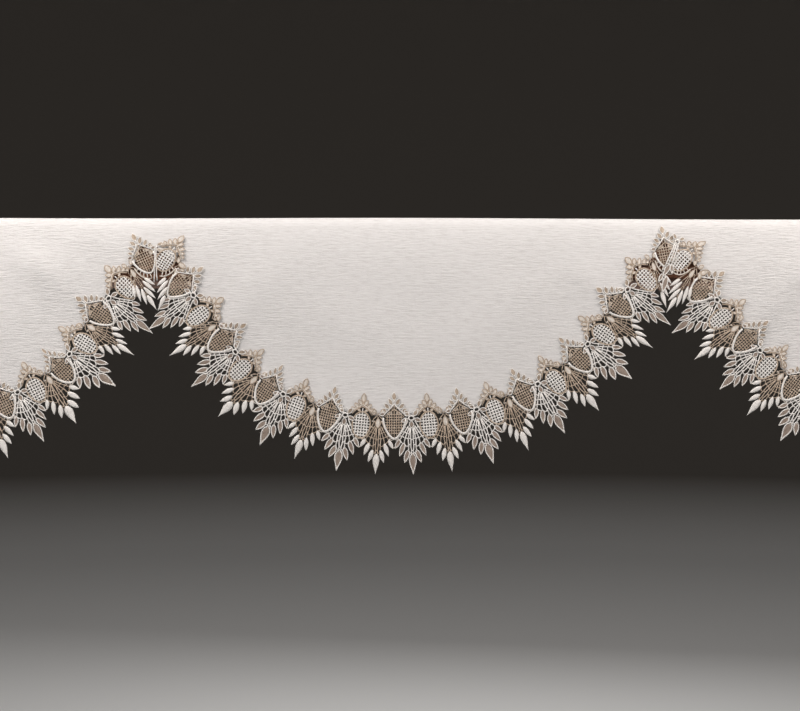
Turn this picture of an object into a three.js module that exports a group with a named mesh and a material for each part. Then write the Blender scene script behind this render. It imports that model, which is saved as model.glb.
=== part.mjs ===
// A scalloped mantel scarf with a leaf lace border, draped over the front edge of a plain wooden mantel shelf.
// Millimetres. +X runs along the shelf, +Y points into the wall, +Z is up.
// The origin is the middle of the shelf's back face.
import * as THREE from "three";
import { mergeVertices } from "three/addons/utils/BufferGeometryUtils.js";

// Shelf
const SHELF_LENGTH = 2440;
const SHELF_DEPTH = 230;
const SHELF_HEIGHT = 90;
const SHELF_TOP = SHELF_HEIGHT / 2;
const NOSE_RADIUS = 8; // rounding of the front top and bottom edges
const NOSE_STEPS = 4;

// Cloth panel
const SCARF_WIDTH = 2286; // side hem to side hem
const CLOTH_THICKNESS = 1.2;
const REST_GAP = 0.3; // between the cloth and the shelf top it lies on
const EDGE_CLEARANCE = 2; // between the cloth and the shelf's rounded front edge
const BACK_HEM_Y = -100;
const HEM_WIDTH = 12;
const HEM_EXTRA = 0.8; // a folded hem is this much thicker than the panel
const HEM_STEP = 0.6; // width of the slope from hem to panel
const TOP_FLAT_END_Y = -198; // where the cloth starts to lift towards the bend
const LIFT_MID_Y = -212;
const BEND_STEPS = 3;
const BEND_RADIUS = NOSE_RADIUS + EDGE_CLEARANCE;
const FRONT_Y = -(SHELF_DEPTH + EDGE_CLEARANCE); // back side of the hanging cloth at the shelf
const BEND_Y = FRONT_Y + BEND_RADIUS;
const HANG_ROWS = 4;

// Soft waves of the hanging part: none at the bend, full at the lace
const WAVE_DEPTH = 12;
const WAVE_FULL_DROP = 380;
const WAVE_LONG = { length: 690, share: 0.33, phase: 0.9 };
const WAVE_SHORT = { length: 455, share: 0.17, phase: 2.3 };
const CREST = { length: 530, height: 0.8, phase: 1.1 }; // slight rise and fall of the bend's top line

// Scallops, left to right. Two of them start with half a fan, or lap over the scallop to their left.
const SCALLOPS = [
  { name: "left", startFan: false, lapsLeft: false },
  { name: "centre", startFan: false, lapsLeft: true },
  { name: "right", startFan: true, lapsLeft: true },
];
const PITCH = SCARF_WIDTH / SCALLOPS.length;
// The uneven curve of each scallop: how far the middle line of its lace drops below the shelf top
// at some shares of the scallop's width, with smooth curves between them
const DROPS = [
  { share: 0, left: 40, centre: 40, right: 41 },
  { share: 0.04, left: 91, centre: 91, right: 88 },
  { share: 0.09, left: 143, centre: 143, right: 139 },
  { share: 0.14, left: 197, centre: 197, right: 186 },
  { share: 0.2, left: 247, centre: 247, right: 231 },
  { share: 0.27, left: 277, centre: 275, right: 268 },
  { share: 0.36, left: 302, centre: 296, right: 293 },
  { share: 0.475, left: 312, centre: 301, right: 300 },
  { share: 0.59, left: 305, centre: 293, right: 293 },
  { share: 0.68, left: 287, centre: 271, right: 271 },
  { share: 0.76, left: 257, centre: 240, right: 240 },
  { share: 0.83, left: 222, centre: 197, right: 197 },
  { share: 0.89, left: 152, centre: 133, right: 134 },
  { share: 0.945, left: 97, centre: 82, right: 83 },
  { share: 1, left: 49, centre: 36, right: 37 },
];
const LINE_STEPS = 760;

// Lace border, drawn flat: u runs along its middle line, v outwards across it
const LACE_THICKNESS = 1.2;
const LACE_GAP = 0.6; // from the cloth's face
const LAP = 2; // a trim's left end lies this far in front of its neighbour's right end
const LAP_FULL = 120;
const LAP_END = 210;
const HEM_RISE_START = 40; // the lace rises over a side hem from here
const HEM_RISE_END = 4; // to here, both measured from the hem's inner edge
const OVALS = 20; // lattice ovals on each scallop
const FIRST_OVAL = 24; // from the left peak to the first oval
const LAST_OVAL = 21; // from the last oval to the right peak
const UNEVEN = 0.03; // every second oval lies this share of a unit nearer to the one before it
const UNIT = 50; // drawn distance between ovals
const CLOTH_EDGE = -20; // v of the panel's cut edge
const PEAK_CLOTH_DROP = 41; // its height in the notch
// Near a peak the lace hangs straighter than across its edge, by these shares of the edge's slope
const LEAN = [
  { end: "left", crown: 0.8, fan: 0.15 },
  { end: "right", crown: 0.2, fan: 0.5 },
];
const LEAN_LENGTH = 99;
const LEAN_BLEND = 20; // half the width over which crowns and fans part their ways
const SHORT_FAN = 0.16; // the fans next to a peak turn away, so they look this much shorter
const SHORT_FROM = 40;

// The crown of buds above an oval: aside from the oval's middle, out across the lace
const CROWN = [
  { aside: 18.2, out: -17.5 },
  { aside: 13.6, out: -27.5 },
  { aside: 10.2, out: -24.5 },
  { aside: 8.2, out: -35.5 },
  { aside: 3.6, out: -31 },
  { aside: 3.2, out: -41 },
];
const CROWN_TIP = -47.5;
const FLOWER_TOP = -22;
// The leaves of a fan: aside from the fan's middle, out across the lace
const FAN_TIP = 71.8;
const FAN = [
  { aside: 4.6, out: 58 },
  { aside: 4.8, out: 50.5 },
  { aside: 10.5, out: 54.5 },
  { aside: 11, out: 40.5 },
  { aside: 17.6, out: 45.5 },
  { aside: 18.2, out: 31 },
  { aside: 23, out: 35.5 },
];
const FAN_JOIN = 31.5; // where two fans meet under an oval
// Openings that go through the lace: two in each half fan and one under each oval
const FAN_HOLES = [
  [
    { aside: 7, out: 21.6 },
    { aside: 9.9, out: 26 },
    { aside: 7.4, out: 30.8 },
    { aside: 4.4, out: 26.6 },
  ],
  [
    { aside: 3.2, out: 30.8 },
    { aside: 5.7, out: 36 },
    { aside: 3.3, out: 41.5 },
    { aside: 0.9, out: 36 },
  ],
];
const OVAL_HOLE = { width: 8.8, top: 20.6, bottom: 29.4 };
// The plain side of an oval where a trim ends at a peak
const OVAL_SIDE = [
  { aside: 19.5, out: -14 },
  { aside: 21.5, out: 2 },
  { aside: 20.5, out: 20 },
  { aside: 12, out: 31 },
];

const WELD = 0.001; // corners nearer than this are one
const OFF_WHITE = 0xe9e5e1;
const LACE_TAUPE = 0xb9aca0;
const RED_BROWN = 0x6e3a22;

// y of the hanging cloth's back side at a place on the front
function hangingY(x, z) {
  const wave = (w) => w.share * Math.sin((2 * Math.PI * x) / w.length + w.phase);
  const below = Math.max(0, SHELF_TOP - z) / WAVE_FULL_DROP;
  const sway = 0.5 + wave(WAVE_LONG) + wave(WAVE_SHORT);
  return FRONT_Y - WAVE_DEPTH * sway * Math.min(1, below) ** 1.3;
}

// Middle line of one scallop's lace: x, drop below the shelf top, slope and length from the left peak
class MiddleLine {
  constructor(scallop, index) {
    this.left = -SCARF_WIDTH / 2 + index * PITCH;
    this.scallop = scallop;
    this.samples = [{ x: this.left, drop: this.dropAt(0), along: 0 }];
    for (let i = 1; i <= LINE_STEPS; i++) {
      const share = i / LINE_STEPS;
      const x = this.left + PITCH * share;
      const last = this.samples[i - 1];
      const drop = this.dropAt(share);
      const along = last.along + Math.hypot(x - last.x, drop - last.drop);
      this.samples.push({ x, drop, along });
    }
    this.length = this.samples[LINE_STEPS].along;
  }

  // Distance from the left peak of a place counted in ovals, the first oval being 0
  alongOf(count) {
    const unit = (this.length - FIRST_OVAL - LAST_OVAL) / (OVALS - 1);
    const nearer = UNEVEN * Math.sin((Math.PI / 2) * count) ** 2;
    return FIRST_OVAL + unit * (count - nearer);
  }

  // A smooth curve through the drops, each passed in the direction of its two neighbours
  dropAt(share) {
    const { name } = this.scallop;
    const last = DROPS.length - 1;
    const steepness = (i) => {
      const [before, after] = [DROPS[Math.max(i - 1, 0)], DROPS[Math.min(i + 1, last)]];
      return (after[name] - before[name]) / (after.share - before.share);
    };
    const next = DROPS.findIndex((row) => row.share > share);
    const i = next < 0 ? last - 1 : next - 1;
    const [from, to] = [DROPS[i], DROPS[i + 1]];
    const width = to.share - from.share;
    const t = (share - from.share) / width;
    const atFrom = (1 + 2 * t) * (1 - t) ** 2 * from[name] + t * (1 - t) ** 2 * width * steepness(i);
    const atTo = t * t * (3 - 2 * t) * to[name] + t * t * (t - 1) * width * steepness(i + 1);
    return atFrom + atTo;
  }

  sampleAt(along) {
    const s = this.samples;
    let i = s.findIndex((p) => p.along >= along);
    if (i < 1) i = i < 0 ? s.length - 1 : 1;
    const [a, b] = [s[i - 1], s[i]];
    const t = (along - a.along) / (b.along - a.along);
    const slope = Math.atan2(b.drop - a.drop, b.x - a.x);
    return { x: a.x + t * (b.x - a.x), drop: a.drop + t * (b.drop - a.drop), slope };
  }

  // Where a place counted in ovals lies on the front, v out across the lace: x, z and how far along
  place(count, v) {
    const along = this.alongOf(count);
    const beyond = Math.min(along, 0) + Math.max(along - this.length, 0);
    const p = this.sampleAt(along - beyond);
    const fromEnd = Math.min(along, this.length - along);
    const { smoothstep, lerp } = THREE.MathUtils;
    const lean = LEAN[along < this.length / 2 ? 0 : 1];
    const atEnd = lerp(lean.crown, lean.fan, smoothstep(v, -LEAN_BLEND, LEAN_BLEND));
    const angle = p.slope * lerp(atEnd, 1, smoothstep(fromEnd, 0, LEAN_LENGTH));
    const shorter = v > 0 ? SHORT_FAN * (1 - smoothstep(fromEnd, SHORT_FROM, LEAN_LENGTH)) : 0;
    const out = v * (1 - shorter);
    const x = p.x + beyond - out * Math.sin(angle);
    return { x, z: SHELF_TOP - p.drop - out * Math.cos(angle), along };
  }
}

// One closed mesh out of a list of corner points and triangles of indices, turned to face out
function closedGeometry(points, triangles) {
  let volume = 0;
  for (const [a, b, c] of triangles) {
    volume += points[a].dot(points[b].clone().cross(points[c]));
  }
  const outward = volume > 0 ? triangles : triangles.map(([a, b, c]) => [a, c, b]);
  const places = points.flatMap((p) => [p.x, p.y, p.z]);
  const geometry = new THREE.BufferGeometry();
  geometry.setAttribute("position", new THREE.Float32BufferAttribute(places, 3));
  geometry.setIndex(outward.flat());
  return mergeVertices(geometry, WELD);
}

// Plain beam with rounded front edges
function shelfGeometry() {
  const front = -SHELF_DEPTH;
  const inset = front + NOSE_RADIUS;
  const outline = new THREE.Shape();
  outline.moveTo(0, -SHELF_TOP);
  outline.lineTo(0, SHELF_TOP);
  outline.lineTo(inset, SHELF_TOP);
  outline.absarc(inset, SHELF_TOP - NOSE_RADIUS, NOSE_RADIUS, Math.PI / 2, Math.PI, false);
  outline.absarc(inset, NOSE_RADIUS - SHELF_TOP, NOSE_RADIUS, Math.PI, 1.5 * Math.PI, false);
  outline.closePath();
  const beam = new THREE.ExtrudeGeometry(outline, {
    depth: SHELF_LENGTH,
    bevelEnabled: false,
    curveSegments: NOSE_STEPS,
  });
  const axes = new THREE.Matrix4().makeBasis(
    new THREE.Vector3(0, 1, 0),
    new THREE.Vector3(0, 0, 1),
    new THREE.Vector3(1, 0, 0),
  );
  return beam.applyMatrix4(axes).translate(-SHELF_LENGTH / 2, 0, 0);
}

// The panel's cut edge along all scallops, left to right, as x and z
function clothEdge(lines) {
  const edge = [];
  for (const line of lines) {
    for (let i = 0; i < OVALS; i++) {
      edge.push(line.place(i, CLOTH_EDGE));
    }
  }
  edge.push(...lines.slice(1).map((line) => ({ x: line.left, z: SHELF_TOP - PEAK_CLOTH_DROP })));
  edge.sort((a, b) => a.x - b.x);
  const endX = SCARF_WIDTH / 2;
  const inner = endX - HEM_WIDTH;
  const left = edge[0];
  const right = edge[edge.length - 1];
  const side = (x, from) => ({ x, z: from.z });
  return [
    side(-endX, left),
    side(-inner, left),
    side(-inner + HEM_STEP, left),
    ...edge,
    side(inner - HEM_STEP, right),
    side(inner, right),
    side(endX, right),
  ];
}

// Back side of the cloth down one column: y, z and the direction of its face
function clothColumn(x, edgeZ) {
  const top = SHELF_TOP + REST_GAP;
  const crest = CREST.height * (1 + Math.sin((2 * Math.PI * x) / CREST.length + CREST.phase));
  const bendZ = SHELF_TOP + EDGE_CLEARANCE + crest - BEND_RADIUS;
  const rows = [
    { y: BACK_HEM_Y, z: top, turn: 0, hem: true },
    { y: BACK_HEM_Y - HEM_WIDTH, z: top, turn: 0, hem: true },
    { y: BACK_HEM_Y - HEM_WIDTH - HEM_STEP, z: top, turn: 0 },
    { y: TOP_FLAT_END_Y, z: top, turn: 0 },
    { y: LIFT_MID_Y, z: (top + bendZ + BEND_RADIUS) / 2, turn: 0 },
  ];
  for (let i = 0; i <= BEND_STEPS; i++) {
    const turn = (i / BEND_STEPS) * (Math.PI / 2);
    const [forward, up] = [BEND_RADIUS * Math.sin(turn), BEND_RADIUS * Math.cos(turn)];
    rows.push({ y: BEND_Y - forward, z: bendZ + up, turn });
  }
  for (let i = 1; i <= HANG_ROWS; i++) {
    const z = THREE.MathUtils.lerp(bendZ, edgeZ, i / HANG_ROWS);
    rows.push({ y: hangingY(x, z), z, turn: Math.PI / 2 });
  }
  return rows;
}

function clothGeometry(lines) {
  const edge = clothEdge(lines);
  const inHem = SCARF_WIDTH / 2 - HEM_WIDTH - HEM_STEP / 2;
  const points = [];
  for (const { x, z: edgeZ } of edge) {
    for (const row of clothColumn(x, edgeZ)) {
      const thick = CLOTH_THICKNESS + (row.hem || Math.abs(x) > inHem ? HEM_EXTRA : 0);
      const [forward, up] = [thick * Math.sin(row.turn), thick * Math.cos(row.turn)];
      points.push(new THREE.Vector3(x, row.y, row.z));
      points.push(new THREE.Vector3(x, row.y - forward, row.z + up));
    }
  }
  const rows = points.length / edge.length / 2;
  const at = (column, row, face) => (column * rows + row) * 2 + face;
  const triangles = [];
  const quad = (a, b, c, d) => triangles.push([a, b, c], [a, c, d]);
  for (let i = 0; i < edge.length - 1; i++) {
    for (let j = 0; j < rows - 1; j++) {
      quad(at(i, j, 0), at(i, j + 1, 0), at(i + 1, j + 1, 0), at(i + 1, j, 0));
      quad(at(i, j, 1), at(i + 1, j, 1), at(i + 1, j + 1, 1), at(i, j + 1, 1));
    }
    quad(at(i, 0, 0), at(i + 1, 0, 0), at(i + 1, 0, 1), at(i, 0, 1));
    quad(at(i, rows - 1, 0), at(i, rows - 1, 1), at(i + 1, rows - 1, 1), at(i + 1, rows - 1, 0));
  }
  const last = edge.length - 1;
  for (let j = 0; j < rows - 1; j++) {
    quad(at(0, j, 0), at(0, j, 1), at(0, j + 1, 1), at(0, j + 1, 0));
    quad(at(last, j, 0), at(last, j + 1, 0), at(last, j + 1, 1), at(last, j, 1));
  }
  return closedGeometry(points, triangles);
}

const mirrored = (list) => list.map(({ aside, out }) => ({ aside: -aside, out })).reverse();

// One oval with half a fan on each side, drawn about the oval's middle.
// A side without a fan ends at the oval's own side.
function unitDrawing(hasLeft, hasRight) {
  const half = UNIT / 2;
  const top = (sign) => CROWN.map(({ aside, out }) => ({ u: sign * aside, v: out }));
  const leaves = (sign) => FAN.map(({ aside, out }) => ({ u: sign * (half - aside), v: out }));
  const plain = (sign) => OVAL_SIDE.map(({ aside, out }) => ({ u: sign * aside, v: out }));
  const contour = [
    ...(hasLeft ? [{ u: -half, v: FLOWER_TOP, cut: "left" }] : []),
    ...top(-1),
    { u: 0, v: CROWN_TIP },
    ...top(1).reverse(),
    ...(hasRight
      ? [{ u: half, v: FLOWER_TOP, cut: "right" }, { u: half, v: FAN_TIP, cut: "right" }, ...leaves(1)]
      : plain(1)),
    { u: 0, v: FAN_JOIN },
    ...(hasLeft ? [...leaves(-1).reverse(), { u: -half, v: FAN_TIP, cut: "left" }] : plain(-1).reverse()),
  ];
  const holes = [];
  for (const hole of FAN_HOLES) {
    if (hasLeft) holes.push(hole.map(({ aside, out }) => ({ u: aside - half, v: out })));
    if (hasRight) holes.push(mirrored(hole).map(({ aside, out }) => ({ u: half + aside, v: out })));
  }
  if (hasLeft && hasRight) {
    const middle = (OVAL_HOLE.top + OVAL_HOLE.bottom) / 2;
    holes.push([
      { u: 0, v: OVAL_HOLE.top },
      { u: OVAL_HOLE.width / 2, v: middle },
      { u: 0, v: OVAL_HOLE.bottom },
      { u: -OVAL_HOLE.width / 2, v: middle },
    ]);
  }
  return { contour, holes };
}

// How far in front of its usual place the lace lies: over its neighbour at a left peak, and over a side hem
function liftAt(line, along, x) {
  const { smoothstep } = THREE.MathUtils;
  const lap = line.scallop.lapsLeft ? LAP : 0;
  const inner = SCARF_WIDTH / 2 - HEM_WIDTH;
  const overHem = smoothstep(Math.abs(x), inner - HEM_RISE_START, inner - HEM_RISE_END);
  return lap * (1 - smoothstep(along, LAP_FULL, LAP_END)) + HEM_EXTRA * overHem;
}

function laceGeometry(line) {
  const points = [];
  const triangles = [];
  for (let i = 0; i < OVALS; i++) {
    const hasLeft = i > 0 || line.scallop.startFan;
    const { contour, holes } = unitDrawing(hasLeft, i < OVALS - 1);
    const rings = [contour, ...holes];
    const flat = rings.map((ring) => ring.map(({ u, v }) => new THREE.Vector2(u, v)));
    const first = points.length / 2;
    for (const { u, v } of rings.flat()) {
      const { x, z, along } = line.place(i + u / UNIT, v);
      const back = hangingY(x, z) - CLOTH_THICKNESS - LACE_GAP - liftAt(line, along, x);
      points.push(new THREE.Vector3(x, back, z), new THREE.Vector3(x, back - LACE_THICKNESS, z));
    }
    const back = (k) => 2 * (first + k);
    const face = (k) => back(k) + 1;
    for (const [a, b, c] of THREE.ShapeUtils.triangulateShape(flat[0], flat.slice(1))) {
      const all = flat.flat();
      const turned = THREE.ShapeUtils.area([all[a], all[b], all[c]]) > 0 ? [a, b, c] : [a, c, b];
      triangles.push(turned.map(face), turned.map(back).reverse());
    }
    let start = 0;
    for (const [r, ring] of rings.entries()) {
      const turnsLeft = THREE.ShapeUtils.area(flat[r]) > 0;
      const outer = r === 0;
      for (let k = 0; k < ring.length; k++) {
        const next = (k + 1) % ring.length;
        const { cut } = ring[k];
        const isTrimEnd = cut === "left" && i === 0;
        if (cut && cut === ring[next].cut && !isTrimEnd) continue;
        const [a, b] = turnsLeft === outer ? [start + k, start + next] : [start + next, start + k];
        triangles.push([face(a), back(a), back(b)], [face(a), back(b), face(b)]);
      }
      start += ring.length;
    }
  }
  return closedGeometry(points, triangles);
}

function named(name, geometry, color, roughness) {
  const mesh = new THREE.Mesh(geometry, new THREE.MeshStandardMaterial({ color, roughness, metalness: 0 }));
  mesh.name = name;
  return mesh;
}

const lines = SCALLOPS.map((scallop, index) => new MiddleLine(scallop, index));
const scarf = new THREE.Group();
scarf.add(named("mantel_shelf", shelfGeometry(), RED_BROWN, 0.5));
scarf.add(named("scarf_panel", clothGeometry(lines), OFF_WHITE, 0.9));
for (const line of lines) {
  scarf.add(named(`lace_trim_${line.scallop.name}`, laceGeometry(line), LACE_TAUPE, 0.85));
}

export default scarf;
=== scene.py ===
# A mantel scarf with a leaf lace border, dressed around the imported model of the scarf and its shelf.
import math

import bpy
import numpy as np
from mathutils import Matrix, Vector


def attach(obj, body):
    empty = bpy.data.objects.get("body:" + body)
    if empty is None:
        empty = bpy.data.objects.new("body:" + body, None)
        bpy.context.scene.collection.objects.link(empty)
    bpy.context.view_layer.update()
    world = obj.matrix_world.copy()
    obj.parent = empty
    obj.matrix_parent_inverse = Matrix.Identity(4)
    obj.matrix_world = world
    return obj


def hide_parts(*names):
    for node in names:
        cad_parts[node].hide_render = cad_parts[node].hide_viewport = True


MM = 0.001

# Sizes of the shelf and of the draped cloth, in millimetres, as in the part's source
SHELF_TOP = 45.0
SHELF_FRONT = -230.0
SCARF_WIDTH = 2286.0
CLOTH_THICKNESS = 1.2
REST_GAP = 0.3
EDGE_CLEARANCE = 2.0
BACK_HEM_Y = -100.0
HEM_WIDTH = 12.0
HEM_EXTRA = 0.8
TOP_FLAT_END_Y = -198.0
FRONT_Y = SHELF_FRONT - EDGE_CLEARANCE

WAVE_DEPTH = 12.0
WAVE_FULL_DROP = 380.0
WAVES = (
    {"length": 690.0, "share": 0.33, "phase": 0.9},
    {"length": 455.0, "share": 0.17, "phase": 2.3},
)

# The upper line of the bend is a little uneven, and the scarf hangs a little higher at its left
CREST = {"length": 960.0, "height": 0.8, "phase": 1.57}
HUNG_HIGHER = 1.5
HUNG_TILT = 0.0028
HUNG_TILT_TO = 600.0

# The stiff cloth turns over the edge in a wide, soft bend and stands a little away from the shelf
LOOSE = 1.8
ROLL_DEPTH = 8.6
ROLL_LENGTH = 30.0
BEND_WIDE = 15.0
BEND_DEEP = 23.0
BEND_END = math.atan2(BEND_WIDE, BEND_DEEP * ROLL_DEPTH / ROLL_LENGTH)
BEND_MIDDLE_Y = FRONT_Y - LOOSE + BEND_WIDE * math.sin(BEND_END)
BEND_MIDDLE_Z = SHELF_TOP + EDGE_CLEARANCE + 0.5 - BEND_DEEP
BEND_END_Z = BEND_MIDDLE_Z + BEND_DEEP * math.cos(BEND_END)
SLACK_FOLDS = (
    {"x": -560, "z": -14, "degrees": 48, "width": 24, "length": 62, "depth": 5.0},
    {"x": -662, "z": -70, "degrees": 40, "width": 34, "length": 80, "depth": 4.0},
    {"x": -880, "z": -90, "degrees": -42, "width": 36, "length": 110, "depth": 4.0},
    {"x": -1010, "z": -40, "degrees": 35, "width": 30, "length": 90, "depth": 3.4},
    {"x": -255, "z": -84, "degrees": -32, "width": 32, "length": 90, "depth": 2.6},
    {"x": -100, "z": -110, "degrees": 64, "width": 46, "length": 120, "depth": 2.0},
    {"x": 120, "z": -100, "degrees": 118, "width": 44, "length": 120, "depth": 2.0},
    {"x": 262, "z": -50, "degrees": 40, "width": 28, "length": 80, "depth": 2.4},
    {"x": 545, "z": -50, "degrees": -44, "width": 26, "length": 80, "depth": 3.6},
    {"x": 720, "z": -110, "degrees": 50, "width": 40, "length": 110, "depth": 3.4},
    {"x": 930, "z": -60, "degrees": -38, "width": 34, "length": 100, "depth": 3.4},
)

SCALLOPS = (
    {"name": "left", "start_fan": False, "under_start_fan": False, "laps": False},
    {"name": "centre", "start_fan": False, "under_start_fan": True, "laps": True},
    {"name": "right", "start_fan": True, "under_start_fan": False, "laps": True},
)
PITCH = SCARF_WIDTH / len(SCALLOPS)
# How far the middle line of the lace drops at some shares of a scallop's width. These drops, UNEVEN
# and most of the lean below come from a least-squares fit to places that were read off, and are rounded.
DROPS = (
    {"share": 0.0, "left": 40, "centre": 40, "right": 41},
    {"share": 0.04, "left": 91, "centre": 91, "right": 88},
    {"share": 0.09, "left": 143, "centre": 143, "right": 139},
    {"share": 0.14, "left": 197, "centre": 197, "right": 186},
    {"share": 0.2, "left": 247, "centre": 247, "right": 231},
    {"share": 0.27, "left": 277, "centre": 275, "right": 268},
    {"share": 0.36, "left": 302, "centre": 296, "right": 293},
    {"share": 0.475, "left": 312, "centre": 301, "right": 300},
    {"share": 0.59, "left": 305, "centre": 293, "right": 293},
    {"share": 0.68, "left": 287, "centre": 271, "right": 271},
    {"share": 0.76, "left": 257, "centre": 240, "right": 240},
    {"share": 0.83, "left": 222, "centre": 197, "right": 197},
    {"share": 0.89, "left": 152, "centre": 133, "right": 134},
    {"share": 0.945, "left": 97, "centre": 82, "right": 83},
    {"share": 1.0, "left": 49, "centre": 36, "right": 37},
)
PEAK_CLOTH_DROP = 41.0
LINE_STEPS = 760

LACE_THICKNESS = 1.2
LACE_GAP = 0.6
LAP = 2.0
LAP_FULL = 120.0
LAP_END = 210.0
OVALS = 20
FIRST_OVAL = 24.0
LAST_OVAL = 21.0
UNEVEN = 0.03
UNIT = 50.0
LEAN_CROWN = {"left": 0.8, "right": 0.2}
LEAN_FAN = {"left": 0.15, "right": 0.5}
LEAN_LENGTH = 99.0
LEAN_BLEND = 20.0
SHORT_FAN = 0.16
SHORT_FROM = 40.0

# Motifs next to a peak keep their own shape, turned as a whole, and lie partly over one another.
# Degrees replace the tilt that the lace has there, and bend curves a motif to one side.
OWN_SHAPE_TO = 30.0
OWN_SHAPE_END = 110.0
OWN_PLACES = (
    {"scallop": "left", "count": 17.5, "right": 1, "down": 2},
    {"scallop": "left", "count": 18, "right": 3, "down": 0},
    {"scallop": "left", "count": 18.5, "degrees": -33, "right": 0, "down": 0},
    {"scallop": "left", "count": 19, "degrees": -25, "right": 1, "down": -1, "bend": -1},
    {"scallop": "centre", "count": 0, "degrees": 33, "right": 3, "down": 1, "bend": 2},
    {"scallop": "centre", "count": 0.5, "degrees": 24, "right": 6, "down": 0},
    {"scallop": "centre", "count": 1, "right": -4, "down": 0},
    {"scallop": "centre", "count": 1.5, "right": -4, "down": -3},
    {"scallop": "centre", "count": 2, "right": -3, "down": 1},
    {"scallop": "centre", "count": 18, "right": 4, "down": -1},
    {"scallop": "centre", "count": 18.5, "degrees": -14, "right": 0, "down": 0},
    {"scallop": "centre", "count": 19, "degrees": -10, "right": 4, "down": 2},
    {"scallop": "right", "count": -0.5, "degrees": 16, "right": 1, "down": 0},
    {"scallop": "right", "count": 0, "degrees": 42, "right": -5, "down": -3, "bend": 7},
    {"scallop": "right", "count": 0.5, "degrees": 34, "right": -4, "down": -1},
    {"scallop": "right", "count": 1, "right": -5, "down": 4},
    {"scallop": "right", "count": 1.5, "right": -2, "down": 1},
    {"scallop": "right", "count": 2, "right": -3, "down": 3},
)

# Single buds that fill the corner beside a folded fan, from its middle to the right and down
CORNER_BUDS = (
    {"scallop": "centre", "base": (3.6, -15.4), "tip": (14.2, -7.4), "half": 3.9},
    {"scallop": "centre", "base": (12.5, -4.4), "tip": (6.0, -6.6), "half": 2.3},
    {"scallop": "right", "base": (13.4, -1.4), "tip": (26.0, -7.6), "half": 3.9},
    {"scallop": "right", "base": (12.0, 6.4), "tip": (14.4, -6.0), "half": 3.0},
)

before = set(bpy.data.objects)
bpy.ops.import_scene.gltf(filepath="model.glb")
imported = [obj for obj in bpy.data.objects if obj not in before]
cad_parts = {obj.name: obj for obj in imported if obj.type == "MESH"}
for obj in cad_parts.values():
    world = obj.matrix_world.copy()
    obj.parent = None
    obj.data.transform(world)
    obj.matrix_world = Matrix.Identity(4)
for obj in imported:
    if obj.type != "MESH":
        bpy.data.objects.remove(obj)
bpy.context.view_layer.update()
rng = np.random.default_rng(11)


def smoothstep(x, low, high):
    t = np.clip((x - low) / (high - low), 0.0, 1.0)
    return t * t * (3.0 - 2.0 * t)


def mix(a, b, t):
    return a + (b - a) * t


def new_object(name, data):
    made = bpy.data.objects.new(name, data)
    bpy.context.scene.collection.objects.link(made)
    return made


def hung(x):
    """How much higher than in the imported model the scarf's outline hangs at some place along it."""
    return HUNG_HIGHER - HUNG_TILT * np.clip(x, -HUNG_TILT_TO, HUNG_TILT_TO)


def hanging_y(x, z):
    """Back side of the hanging cloth at a place on the front."""
    below = np.clip((SHELF_TOP - z) / WAVE_FULL_DROP, 0.0, 1.0)
    sway = 0.5
    for wave in WAVES:
        sway = sway + wave["share"] * np.sin(2 * math.pi * x / wave["length"] + wave["phase"])
    straight = FRONT_Y - LOOSE - WAVE_DEPTH * sway * below**1.3 - soft_relief(x, z)
    rise = np.clip((z - BEND_MIDDLE_Z) / BEND_DEEP, 0.0, 0.99)
    return np.where(z > BEND_END_Z, BEND_MIDDLE_Y - BEND_WIDE * np.sqrt(1 - rise * rise), straight)


def soft_relief(x, z):
    """How far the cloth's own stiffness and its slack folds bring it forward of the smooth drape."""
    down = np.maximum(BEND_END_Z - z, 0.0)
    roll = ROLL_DEPTH * (1 - np.exp(-down / ROLL_LENGTH))
    hang = smoothstep(down, 0.0, 80.0)
    slow = np.sin(x / 37.0 + 1.7 * np.sin(z / 61.0)) * np.sin(x / 143.0 + 0.6)
    slant = np.sin((x + 0.8 * z) / 58.0 + 0.9) * np.sin((x - 1.3 * z) / 171.0)
    relief = roll + hang * (0.7 + 0.35 * slow + 0.4 * slant)
    for fold in SLACK_FOLDS:
        turn = math.radians(fold["degrees"])
        dx, dz = x - fold["x"], z - fold["z"]
        across = dx * math.cos(turn) + dz * math.sin(turn)
        along = dz * math.cos(turn) - dx * math.sin(turn)
        shape = np.exp(-((across / fold["width"]) ** 2) - (along / fold["length"]) ** 2)
        relief = relief + hang * fold["depth"] * shape
    return relief


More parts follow.
